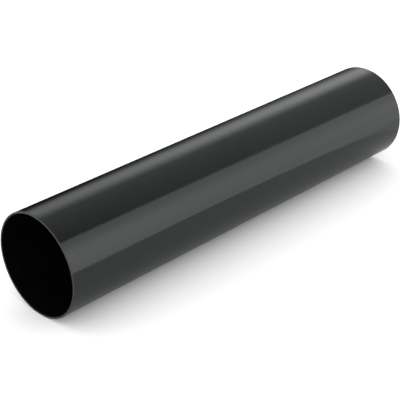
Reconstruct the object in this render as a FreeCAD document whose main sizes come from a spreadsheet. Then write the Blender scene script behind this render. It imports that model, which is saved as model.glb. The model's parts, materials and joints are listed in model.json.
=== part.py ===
# Plastic downpipe: one straight length of plain-ended rainwater pipe.
# Its axis runs along X, it lies on the plane Z = 0 and its mid-length is over the origin.
import FreeCAD, Part
import os
import Sketcher

# Driving sizes in millimetres
driving_sizes = {
    "outside_diameter": 110.0,
    "wall_thickness": 1.9,
    "pipe_length": 510.0,
    "outside_deburr": 0.4,
    "bore_deburr": 0.3,
}


def make_sheet(doc):
    sheet = doc.addObject("Spreadsheet::Sheet", "Sizes")
    for row, (alias, value) in enumerate(driving_sizes.items(), start=1):
        sheet.set(f"A{row}", alias.replace("_", " "))
        sheet.set(f"B{row}", str(value))
        sheet.setAlias(f"B{row}", alias)
    doc.recompute()
    return sheet


def origin_plane(body, role):
    return next(plane for plane in body.Origin.OriginFeatures if plane.Role == role)


def add_circle(sketch, name, diameter, expression):
    circle = sketch.addGeometry(Part.Circle(FreeCAD.Vector(), FreeCAD.Vector(0, 0, 1), diameter / 2))
    sketch.addConstraint(Sketcher.Constraint("Coincident", circle, 3, -1, 1))
    constraint = sketch.addConstraint(Sketcher.Constraint("Diameter", circle, diameter))
    sketch.renameConstraint(constraint, name)
    sketch.setExpression(f"Constraints.{name}", expression)


# The extruded wall: a ring section drawn across the axis and drawn out both ways along it
def extrude_wall(doc, body, sheet):
    section = body.newObject("Sketcher::SketchObject", "RingSection")
    section.AttachmentSupport = [(origin_plane(body, "YZ_Plane"), "")]
    section.MapMode = "FlatFace"
    bore_diameter = sheet.outside_diameter - 2 * sheet.wall_thickness
    add_circle(section, "outside", sheet.outside_diameter, "Sizes.outside_diameter")
    add_circle(section, "bore", bore_diameter, "Sizes.outside_diameter - 2 * Sizes.wall_thickness")
    wall = body.newObject("PartDesign::Pad", "ExtrudedWall")
    wall.Profile = section
    wall.SideType = "Symmetric"
    wall.setExpression("Length", "Sizes.pipe_length")
    doc.recompute()
    return wall


# The round edges of one radius, one at each cut end
def rim_edges(shape, radius):
    return [
        f"Edge{number}"
        for number, edge in enumerate(shape.Edges, start=1)
        if isinstance(edge.Curve, Part.Circle) and abs(edge.Curve.Radius - radius) < 0.001
    ]


# The sawn ends are square, with the saw's burr taken off both edges of the wall
def deburr_ends(doc, body, name, base, radius, expression):
    deburr = body.newObject("PartDesign::Chamfer", name)
    deburr.Base = (base, rim_edges(base.Shape, radius))
    deburr.setExpression("Size", expression)
    doc.recompute()
    return deburr


def make_downpipe(doc, sheet):
    body = doc.addObject("PartDesign::Body", "Downpipe")
    body.Label = "downpipe"
    wall = extrude_wall(doc, body, sheet)
    outside_radius = sheet.outside_diameter / 2
    bore_radius = outside_radius - sheet.wall_thickness
    outside = deburr_ends(doc, body, "OutsideDeburr", wall, outside_radius, "Sizes.outside_deburr")
    deburr_ends(doc, body, "BoreDeburr", outside, bore_radius, "Sizes.bore_deburr")
    # Lifted by its radius, the pipe rests on the plane Z = 0
    body.setExpression("Placement.Base.z", "Sizes.outside_diameter / 2")
    return body


def check_document(doc, bodies):
    for item in doc.Objects:
        if "Invalid" in item.State or "Error" in item.State:
            raise RuntimeError(f"{item.Name} failed: {item.State}")
    for body in bodies:
        if body.Shape.isNull() or not body.Shape.isValid():
            raise RuntimeError(f"{body.Label} has no valid shape")
        if len(body.Shape.Solids) != 1:
            raise RuntimeError(f"{body.Label} is not one solid")


doc = FreeCAD.newDocument("PlasticDownpipe")
sheet = make_sheet(doc)
bodies = [make_downpipe(doc, sheet)]
doc.recompute()
check_document(doc, bodies)

os.makedirs("parts", exist_ok=True)
for body in bodies:
    body.Shape.exportStep(f"parts/{body.Label}.step")
    print(f"{body.Label}: {body.Shape.Volume:.1f} mm3, box {body.Shape.BoundBox}")
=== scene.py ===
import json
import math

import bmesh
import bpy
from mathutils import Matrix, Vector


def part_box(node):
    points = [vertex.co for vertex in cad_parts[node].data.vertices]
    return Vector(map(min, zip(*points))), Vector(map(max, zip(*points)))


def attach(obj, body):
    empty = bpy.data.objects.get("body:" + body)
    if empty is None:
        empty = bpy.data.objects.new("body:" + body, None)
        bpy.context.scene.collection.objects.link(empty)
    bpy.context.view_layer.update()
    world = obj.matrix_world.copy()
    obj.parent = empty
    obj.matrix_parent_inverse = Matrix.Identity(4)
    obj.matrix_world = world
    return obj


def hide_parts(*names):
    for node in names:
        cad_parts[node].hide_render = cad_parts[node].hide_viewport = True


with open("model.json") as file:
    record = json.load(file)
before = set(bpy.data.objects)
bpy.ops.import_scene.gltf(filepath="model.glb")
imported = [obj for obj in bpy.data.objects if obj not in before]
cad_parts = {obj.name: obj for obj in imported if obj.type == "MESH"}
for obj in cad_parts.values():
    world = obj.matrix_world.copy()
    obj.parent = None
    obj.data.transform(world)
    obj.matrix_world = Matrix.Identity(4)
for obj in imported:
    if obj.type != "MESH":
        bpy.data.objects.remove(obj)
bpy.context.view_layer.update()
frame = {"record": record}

# the pipe's own sizes come from the frame, in metres
mounts = {mount["name"]: mount for mount in frame["record"]["mounts"]}
pipeLow, pipeHigh = (Vector(corner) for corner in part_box("downpipe"))
axisHeight = (pipeLow.z + pipeHigh.z) / 2
outerRadius = (pipeHigh.z - pipeLow.z) / 2
boreRadius = mounts["water_way"]["dims"]["r_mm"] / 1000
print("frame loaded, pipe is", round(pipeHigh.x - pipeLow.x, 3), "m long")


# Small helpers for node trees; values are for input sockets, by name or by number
def addNode(tree, kind, values=None, **options):
    node = tree.nodes.new(kind)
    for name, value in options.items():
        setattr(node, name, value)
    for name, value in (values or {}).items():
        node.inputs[name].default_value = value
    return node


def newMaterial(name):
    material = bpy.data.materials.new(name)
    material.use_nodes = True
    material.node_tree.nodes.clear()
    return material, material.node_tree


def setRamp(ramp, stops, tint):
    # stops are (position, grey) pairs, in order; new elements start midway and are placed below
    while len(ramp.elements) < len(stops):
        ramp.elements.new(0.5)
    for element, (position, grey) in zip(ramp.elements, stops):
        element.position = position
        element.color = (*(grey * part for part in tint), 1)


cameraSet = {
    "place": (-0.8324, -0.7768, 0.6347),
    "tilt": 61.959,             # degrees up from straight down
    "turn": -45.877,            # degrees from looking along +Y
    "lens": 105.72,             # mm
    "sensor": 36.0,             # mm
}


def addCamera():
    data = bpy.data.cameras.new("photoCamera")
    data.sensor_fit = "HORIZONTAL"
    data.sensor_width = cameraSet["sensor"]
    data.lens = cameraSet["lens"]
    camera = bpy.data.objects.new("photoCamera", data)
    camera.location = cameraSet["place"]
    camera.rotation_euler = (math.radians(cameraSet["tilt"]), 0, math.radians(cameraSet["turn"]))
    bpy.context.collection.objects.link(camera)
    bpy.context.scene.camera = camera
    print("camera placed")


studio = {
    # soft white light from all round, 1 on average on the floor, more of it from low down
    "domeHorizon": 1.601,
    "domeZenith": 0.699,
    "domeLean": (-0.028, 0.082, 0.0),    # and this much more of it from behind
    "domeColour": (1, 1, 1, 1),
    # softboxes that only reflections see, in a line along the pipe: degrees from overhead
    # towards the front, then the grey there past the near end, at the near part and at the far part
    "softboxes": (
        (-94, 0.45, 0.0, 0.035),
        (-90, 0.48, 0.012, 0.092),
        (-57.5, 0.85, 0.57, 0.765),      # the low one behind
        (-36, 0.35, 0.21, 0.25),
        (19.5, 0.16, 0.10, 0.24),        # the gap overhead
        (23.5, 0.55, 0.61, 0.69),
        (57.5, 0.90, 1.0, 0.825),        # the large one in front
        (112, 0.60, 0.81, 0.68),
        (142, 0.50, 0.60, 0.45),
        (180, 0.45, 0.30, 0.33),
    ),
    "strength": 2.0,                     # brightness of a grey of 1
    "tint": (0.977, 1.017, 1.006),
    "lineTurn": 18.0,                    # degrees that their line is turned from the pipe's
    # how far along the pipe a reflection leans where one part gives way to the next
    "blends": ((0.2, 0.5), (0.54, 0.72)),
    "backdropColour": (1, 1, 1, 1),      # what the camera sees past the floor
    "backdropStrength": 1.0,
}


def addWorld():
    world = bpy.data.worlds.new("studioWorld")
    bpy.context.scene.world = world
    world.use_nodes = True
    tree = world.node_tree
    tree.nodes.clear()

    # angle of a direction round the softboxes' line, from -180 to 180 degrees as 0 to 1
    direction = addNode(tree, "ShaderNodeTexCoord")
    turned = addNode(tree, "ShaderNodeMapping", {"Rotation": (0, 0, math.radians(studio["lineTurn"]))})
    parts = addNode(tree, "ShaderNodeSeparateXYZ")
    front = addNode(tree, "ShaderNodeMath", {1: -1.0}, operation="MULTIPLY")  # the front is -Y
    angle = addNode(tree, "ShaderNodeMath", operation="ARCTAN2")
    turn = addNode(tree, "ShaderNodeMapRange", {"From Min": -math.pi, "From Max": math.pi})
    tree.links.new(direction.outputs["Generated"], turned.inputs["Vector"])
    tree.links.new(turned.outputs[0], parts.inputs[0])
    tree.links.new(parts.outputs["Y"], front.inputs[0])
    tree.links.new(front.outputs[0], angle.inputs[0])
    tree.links.new(parts.outputs["Z"], angle.inputs[1])
    tree.links.new(angle.outputs[0], turn.inputs["Value"])

    # one ramp for each column of greys; each part's greys give way to the next part's along the pipe
    pipeLine = addNode(tree, "ShaderNodeSeparateXYZ")
    tree.links.new(direction.outputs["Generated"], pipeLine.inputs[0])
    ramps = []
    for column in (1, 2, 3):
        ramp = addNode(tree, "ShaderNodeValToRGB")
        ramp.color_ramp.interpolation = "EASE"
        stops = [((row[0] + 180) / 360, row[column]) for row in studio["softboxes"]]
        setRamp(ramp.color_ramp, stops, studio["tint"])
        tree.links.new(turn.outputs[0], ramp.inputs["Fac"])
        ramps.append(ramp)
    greys = ramps[0].outputs["Color"]
    for ramp, (blendStart, blendEnd) in zip(ramps[1:], studio["blends"]):
        lean = addNode(tree, "ShaderNodeMapRange", {"From Min": blendStart, "From Max": blendEnd})
        blend = addNode(tree, "ShaderNodeMixRGB")
        tree.links.new(pipeLine.outputs["X"], lean.inputs["Value"])
        tree.links.new(lean.outputs[0], blend.inputs["Fac"])
        tree.links.new(greys, blend.inputs["Color1"])
        tree.links.new(ramp.outputs["Color"], blend.inputs["Color2"])
        greys = blend.outputs["Color"]

    # the dome gives the light, reflections see the softboxes, and the camera sees plain white
    heightRange = {"To Min": studio["domeHorizon"], "To Max": studio["domeZenith"]}
    domeHeight = addNode(tree, "ShaderNodeMapRange", heightRange)
    domeLean = addNode(tree, "ShaderNodeVectorMath", {1: studio["domeLean"]}, operation="DOT_PRODUCT")
    domeSum = addNode(tree, "ShaderNodeMath", operation="ADD")
    dome = addNode(tree, "ShaderNodeBackground", {"Color": studio["domeColour"]})
    softboxes = addNode(tree, "ShaderNodeBackground", {"Strength": studio["strength"]})
    backdropLook = {"Color": studio["backdropColour"], "Strength": studio["backdropStrength"]}
    backdrop = addNode(tree, "ShaderNodeBackground", backdropLook)
    rays = addNode(tree, "ShaderNodeLightPath")
    mixGlossy = addNode(tree, "ShaderNodeMixShader")
    mixCamera = addNode(tree, "ShaderNodeMixShader")
    out = addNode(tree, "ShaderNodeOutputWorld")
    tree.links.new(pipeLine.outputs["Z"], domeHeight.inputs["Value"])
    tree.links.new(direction.outputs["Generated"], domeLean.inputs[0])
    tree.links.new(domeHeight.outputs[0], domeSum.inputs[0])
    tree.links.new(domeLean.outputs["Value"], domeSum.inputs[1])
    tree.links.new(domeSum.outputs[0], dome.inputs["Strength"])
    tree.links.new(greys, softboxes.inputs["Color"])
    tree.links.new(rays.outputs["Is Glossy Ray"], mixGlossy.inputs[0])
    tree.links.new(dome.outputs[0], mixGlossy.inputs[1])
    tree.links.new(softboxes.outputs[0], mixGlossy.inputs[2])
    tree.links.new(rays.outputs["Is Camera Ray"], mixCamera.inputs[0])
    tree.links.new(mixGlossy.outputs[0], mixCamera.inputs[1])
    tree.links.new(backdrop.outputs[0], mixCamera.inputs[2])
    tree.links.new(mixCamera.outputs[0], out.inputs["Surface"])
    print("studio light set,", len(studio["softboxes"]), "stops round the pipe")


floorSet = {
    "size": 6.0,                # m across
    "white": 1.369,             # lifted, so that it clears to paper white beside the shadow
    "greyInReflections": 0.70,
    "tableCentre": (-0.045, -0.096, 0.0),
    "tableRadius": 0.364,       # reflections see the floor this far out, and the softboxes past it
}


def addFloor():
    mesh = bpy.data.meshes.new("studioFloor")
    bm = bmesh.new()
    bmesh.ops.create_grid(bm, x_segments=1, y_segments=1, size=floorSet["size"] / 2)
    bm.to_mesh(mesh)
    bm.free()
    floor = bpy.data.objects.new("studioFloor", mesh)
    bpy.context.collection.objects.link(floor)

    material, tree = newMaterial("whiteFloor")
    white = floorSet["white"]
    grey = [floorSet["greyInReflections"] * part for part in studio["tint"]]
    seen = addNode(tree, "ShaderNodeBsdfDiffuse", {"Color": (white, white, white, 1)})
    mirrored = addNode(tree, "ShaderNodeBsdfDiffuse", {"Color": (*grey, 1)})
    gone = addNode(tree, "ShaderNodeBsdfTransparent")
    rays = addNode(tree, "ShaderNodeLightPath")
    place = addNode(tree, "ShaderNodeTexCoord")
    distance = addNode(tree, "ShaderNodeVectorMath", {1: floorSet["tableCentre"]}, operation="DISTANCE")
    offTable = addNode(tree, "ShaderNodeMath", {1: floorSet["tableRadius"]}, operation="GREATER_THAN")
    glossyOffTable = addNode(tree, "ShaderNodeMath", operation="MULTIPLY")
    mixCamera = addNode(tree, "ShaderNodeMixShader")
    mixGlossy = addNode(tree, "ShaderNodeMixShader")
    out = addNode(tree, "ShaderNodeOutputMaterial")
    tree.links.new(place.outputs["Object"], distance.inputs[0])
    tree.links.new(distance.outputs["Value"], offTable.inputs[0])
    tree.links.new(offTable.outputs[0], glossyOffTable.inputs[0])
    tree.links.new(rays.outputs["Is Glossy Ray"], glossyOffTable.inputs[1])
    tree.links.new(glossyOffTable.outputs[0], mixGlossy.inputs[0])
    tree.links.new(mirrored.outputs[0], mixGlossy.inputs[1])
    tree.links.new(gone.outputs[0], mixGlossy.inputs[2])
    tree.links.new(rays.outputs["Is Camera Ray"], mixCamera.inputs[0])
    tree.links.new(mixGlossy.outputs[0], mixCamera.inputs[1])
    tree.links.new(seen.outputs[0], mixCamera.inputs[2])
    tree.links.new(mixCamera.outputs[0], out.inputs["Surface"])
    mesh.materials.append(material)
    print("floor laid,", floorSet["size"], "m across")


plasticSet = {                  # the same on all of the pipe
    "ior": 1.5,
    "noiseRoughness": 0.55,
    "bumpStrength": 1.0,
}


# One noise on the pipe's own coordinates, stretched or turned where the real marks are
def addNoise(tree, scale, detail, stretch=(1, 1, 1), turn=(0, 0, 0)):
    place = addNode(tree, "ShaderNodeTexCoord")
    shaped = addNode(tree, "ShaderNodeMapping", {"Scale": stretch, "Rotation": turn})
    values = {"Scale": scale, "Detail": detail, "Roughness": plasticSet["noiseRoughness"]}
    noise = addNode(tree, "ShaderNodeTexNoise", values)
    tree.links.new(place.outputs["Object"], shaped.inputs["Vector"])
    tree.links.new(shaped.outputs[0], noise.inputs["Vector"])
    return noise.outputs["Fac"]


# Turns the span (low, high) of a value into the new one, and holds it at the new one's ends
def addRange(tree, value, old, new=(0, 1)):
    span = addNode(tree, "ShaderNodeMapRange",
                   {"From Min": old[0], "From Max": old[1], "To Min": new[0], "To Max": new[1]})
    tree.links.new(value, span.inputs["Value"])
    return span.outputs[0]


def combine(tree, first, second, operation="ADD"):
    result = addNode(tree, "ShaderNodeMath", operation=operation)
    tree.links.new(first, result.inputs[0])
    tree.links.new(second, result.inputs[1])
    return result.outputs[0]


def addTint(tree, amount, dark, light):
    tint = addNode(tree, "ShaderNodeMixRGB", {"Color1": (*dark, 1), "Color2": (*light, 1)})
    tree.links.new(amount, tint.inputs["Fac"])
    return tint.outputs[0]


def addBump(tree, height, distance, normal=None):
    values = {"Strength": plasticSet["bumpStrength"], "Distance": distance}
    bump = addNode(tree, "ShaderNodeBump", values)
    tree.links.new(height, bump.inputs["Height"])
    if normal is not None:
        tree.links.new(normal, bump.inputs["Normal"])
    return bump.outputs[0]


def addPlastic(tree, colour, roughness, normal, specular):
    values = {"IOR": plasticSet["ior"], "Specular IOR Level": specular}
    shader = addNode(tree, "ShaderNodeBsdfPrincipled", values)
    out = addNode(tree, "ShaderNodeOutputMaterial")
    tree.links.new(colour, shader.inputs["Base Color"])
    tree.links.new(roughness, shader.inputs["Roughness"])
    tree.links.new(normal, shader.inputs["Normal"])
    tree.links.new(shader.outputs[0], out.inputs["Surface"])


# In the looks, scales are noise cells to the metre, and heights are metres at the most
outsideLook = {
    "dark": (0.0080, 0.0085, 0.0083),
    "light": (0.0126, 0.0131, 0.0129),
    "roughness": (0.070, 0.105),
    "specular": 0.5,
    "drawLineScale": 420,       # lines that the extruder's die leaves along the pipe
    "drawLineDetail": 3.0,
    "drawLineStretch": 0.004,
    "drawLineLevels": (0.3, 0.7),
    "drawLineHeight": 0.00002,
    "waveScale": 130,           # the skin's faint waviness
    "waveDetail": 1.0,
    "waveHeight": 0.00003,
    "bloomScale": 13,           # patches where handling has dulled the shine
    "bloomDetail": 4.0,
    "bloomLevels": (0.3, 0.7),
    "scuffScale": 1100,         # sparse fine marks, nearly along the pipe
    "scuffDetail": 2.0,
    "scuffStretch": 0.03,
    "scuffTurn": (0, 0.03, 0.05),
    "scuffLevels": (0.64, 0.74),
    "scuffRoughness": 0.10,
    "scuffTint": 0.5,
    "patchLevels": (0, 2),      # bloom and draw lines together
}


def glossyOutside():
    look = outsideLook
    material, tree = newMaterial("glossyOutside")
    lineStretch = (look["drawLineStretch"], 1, 1)
    scuffStretch = (look["scuffStretch"], 1, 1)
    drawLines = addNoise(tree, look["drawLineScale"], look["drawLineDetail"], lineStretch)
    waves = addNoise(tree, look["waveScale"], look["waveDetail"])
    bloom = addRange(tree, addNoise(tree, look["bloomScale"], look["bloomDetail"]), look["bloomLevels"])
    scuffNoise = addNoise(tree, look["scuffScale"], look["scuffDetail"], scuffStretch, look["scuffTurn"])
    scuffs = addRange(tree, scuffNoise, look["scuffLevels"])

    lines = addRange(tree, drawLines, look["drawLineLevels"])
    patches = addRange(tree, combine(tree, bloom, lines), look["patchLevels"])
    scuffTint = addRange(tree, scuffs, (0, 1), (0, look["scuffTint"]))
    colour = addTint(tree, combine(tree, patches, scuffTint), look["dark"], look["light"])
    scuffRoughness = addRange(tree, scuffs, (0, 1), (0, look["scuffRoughness"]))
    roughness = combine(tree, addRange(tree, patches, (0, 1), look["roughness"]), scuffRoughness)
    skin = addBump(tree, waves, look["waveHeight"])
    normal = addBump(tree, drawLines, look["drawLineHeight"], skin)
    addPlastic(tree, colour, roughness, normal, look["specular"])
    return material


# Painted shade: the bore's colours are near black, far darker than the same plastic on the outside, to
# stand in for the shade inside the pipe; its specular is turned down as well
boreLook = {
    "dark": (0.0010, 0.0010, 0.0010),
    "light": (0.0026, 0.0026, 0.0026),
    "roughness": (0.50, 0.68),
    "specular": 0.04,
    "drawLineScale": 300,
    "drawLineDetail": 3.0,
    "drawLineStretch": 0.005,
    "drawLineHeight": 0.00002,
    "dustScale": 60,
    "dustDetail": 5.0,
    "patchLevels": (0.7, 1.3),  # draw lines and dust together
}


def dullBoreInPaintedShade():
    look = boreLook
    material, tree = newMaterial("dullBoreInPaintedShade")
    lineStretch = (look["drawLineStretch"], 1, 1)
    drawLines = addNoise(tree, look["drawLineScale"], look["drawLineDetail"], lineStretch)
    dust = addNoise(tree, look["dustScale"], look["dustDetail"])
    patches = addRange(tree, combine(tree, drawLines, dust), look["patchLevels"])
    # painted shade: dust and draw lines move the colour between two near-black greys that stand in for the
    # shade in the bore
    colour = addTint(tree, patches, look["dark"], look["light"])
    roughness = addRange(tree, patches, (0, 1), look["roughness"])
    normal = addBump(tree, drawLines, look["drawLineHeight"])
    addPlastic(tree, colour, roughness, normal, look["specular"])
    return material


endLook = {
    "dark": (0.010, 0.0115, 0.011),
    "light": (0.036, 0.038, 0.037),
    "roughness": (0.28, 0.42),
    "specular": 0.5,
    "sawMarkScale": 2400,       # close straight marks of the saw, across the wall
    "sawMarkDetail": 2.0,
    "sawMarkStretch": 0.03,
    "sawMarkTurn": 28,          # degrees round the pipe's line
    "sawMarkHeight": 0.00003,
    "crumbScale": 700,
    "crumbDetail": 3.0,
    "patchLevels": (0.7, 1.3),  # saw marks and crumbs together
    "frayWidth": 0.0005,        # paler where the saw has frayed the outer edge
    "fray": 0.35,
}


def sawnEnd():
    look = endLook
    material, tree = newMaterial("sawnEnd")
    markTurn = (math.radians(look["sawMarkTurn"]), 0, 0)
    markStretch = (1, 1, look["sawMarkStretch"])
    sawMarks = addNoise(tree, look["sawMarkScale"], look["sawMarkDetail"], markStretch, markTurn)
    crumbs = addNoise(tree, look["crumbScale"], look["crumbDetail"])

    # distance from the pipe's axis
    place = addNode(tree, "ShaderNodeTexCoord")
    fromAxis = addNode(tree, "ShaderNodeVectorMath", {1: (0, 0, axisHeight)}, operation="SUBTRACT")
    across = addNode(tree, "ShaderNodeVectorMath", {1: (0, 1, 1)}, operation="MULTIPLY")
    radius = addNode(tree, "ShaderNodeVectorMath", operation="LENGTH")
    tree.links.new(place.outputs["Object"], fromAxis.inputs[0])
    tree.links.new(fromAxis.outputs[0], across.inputs[0])
    tree.links.new(across.outputs[0], radius.inputs[0])
    edge = addRange(tree, radius.outputs["Value"], (outerRadius - look["frayWidth"], outerRadius))
    fray = addRange(tree, combine(tree, edge, crumbs, "MULTIPLY"), (0, 1), (0, look["fray"]))

    patches = addRange(tree, combine(tree, sawMarks, crumbs), look["patchLevels"])
    colour = addTint(tree, combine(tree, patches, fray), look["dark"], look["light"])
    roughness = addRange(tree, patches, (0, 1), look["roughness"])
    normal = addBump(tree, sawMarks, look["sawMarkHeight"])
    addPlastic(tree, colour, roughness, normal, look["specular"])
    return material


pipeSet = {
    "stepsRound": 256,
    "stepsAlong": 48,
    "outsideDeburr": 0.0004,
    "boreDeburr": 0.0003,
    "deburrSegments": 4,
    "supportGap": 0.0003,       # from the rounded edges to the loop that keeps the wall's shading straight
    "endInset": 0.00012,        # the same on the sawn faces
    "mergeGap": 1e-6,
    "cutGap": 1e-7,
    "sawnNormal": 0.999,        # a sawn face points at least this far along the pipe
    "edgeNormal": 0.1,          # and its rounded edges this far
}


# The wall's section: a thin rectangle over the axis, with its corners rounded off
def drawSection(bm):
    outerZ = axisHeight + outerRadius
    boreZ = axisHeight + boreRadius
    corners = [
        bm.verts.new(place) for place in (
            (pipeLow.x, 0, outerZ), (pipeHigh.x, 0, outerZ),
            (pipeHigh.x, 0, boreZ), (pipeLow.x, 0, boreZ),
        )
    ]
    bm.faces.new(corners)
    for pair, size in ((corners[:2], pipeSet["outsideDeburr"]), (corners[2:], pipeSet["boreDeburr"])):
        bmesh.ops.bevel(bm, geom=pair, offset=size, segments=pipeSet["deburrSegments"],
                        profile=0.5, affect="VERTICES", material=-1)
    bmesh.ops.delete(bm, geom=bm.faces[:], context="FACES_ONLY")
    longEdges = [edge for edge in bm.edges if edge.calc_length() > outerRadius]
    bmesh.ops.subdivide_edges(bm, edges=longEdges, cuts=pipeSet["stepsAlong"] - 1)


def spinWall(bm):
    bmesh.ops.spin(bm, geom=bm.verts[:] + bm.edges[:], cent=(0, 0, axisHeight), axis=(1, 0, 0),
                   dvec=(0, 0, 0), angle=math.tau, steps=pipeSet["stepsRound"], use_merge=True,
                   use_normal_flip=False, use_duplicate=False)
    bmesh.ops.remove_doubles(bm, verts=bm.verts[:], dist=pipeSet["mergeGap"])
    support = pipeSet["outsideDeburr"] + pipeSet["supportGap"]
    for supportX in (pipeLow.x + support, pipeHigh.x - support):
        bmesh.ops.bisect_plane(bm, geom=bm.verts[:] + bm.edges[:] + bm.faces[:],
                               dist=pipeSet["cutGap"], plane_co=(supportX, 0, 0), plane_no=(1, 0, 0))
    bmesh.ops.recalc_face_normals(bm, faces=bm.faces[:])
    sawnFaces = [face for face in bm.faces if abs(face.normal.x) > pipeSet["sawnNormal"]]
    bmesh.ops.inset_region(bm, faces=sawnFaces, thickness=pipeSet["endInset"], depth=0,
                           use_boundary=True, use_even_offset=True)


# Material 0 is the outside, 1 the bore, 2 the sawn ends and their rounded edges
def giveMaterials(bm):
    middleRadius = (outerRadius + boreRadius) / 2
    for face in bm.faces:
        face.smooth = True
        centre = face.calc_center_median()
        if abs(face.normal.x) > pipeSet["edgeNormal"]:
            face.material_index = 2
        elif math.hypot(centre.y, centre.z - axisHeight) < middleRadius:
            face.material_index = 1


def makePipe():
    bm = bmesh.new()
    drawSection(bm)
    spinWall(bm)
    giveMaterials(bm)
    mesh = bpy.data.meshes.new("pipeWall")
    bm.to_mesh(mesh)
    bm.free()
    pipe = bpy.data.objects.new("pipeWall", mesh)
    bpy.context.collection.objects.link(pipe)
    for material in (glossyOutside(), dullBoreInPaintedShade(), sawnEnd()):
        mesh.materials.append(material)
    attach(pipe, "root")
    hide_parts("downpipe")
    print("pipe made,", len(mesh.polygons), "faces")


addCamera()
addWorld()
addFloor()
makePipe()
bpy.context.scene.view_settings.view_transform = "Standard"
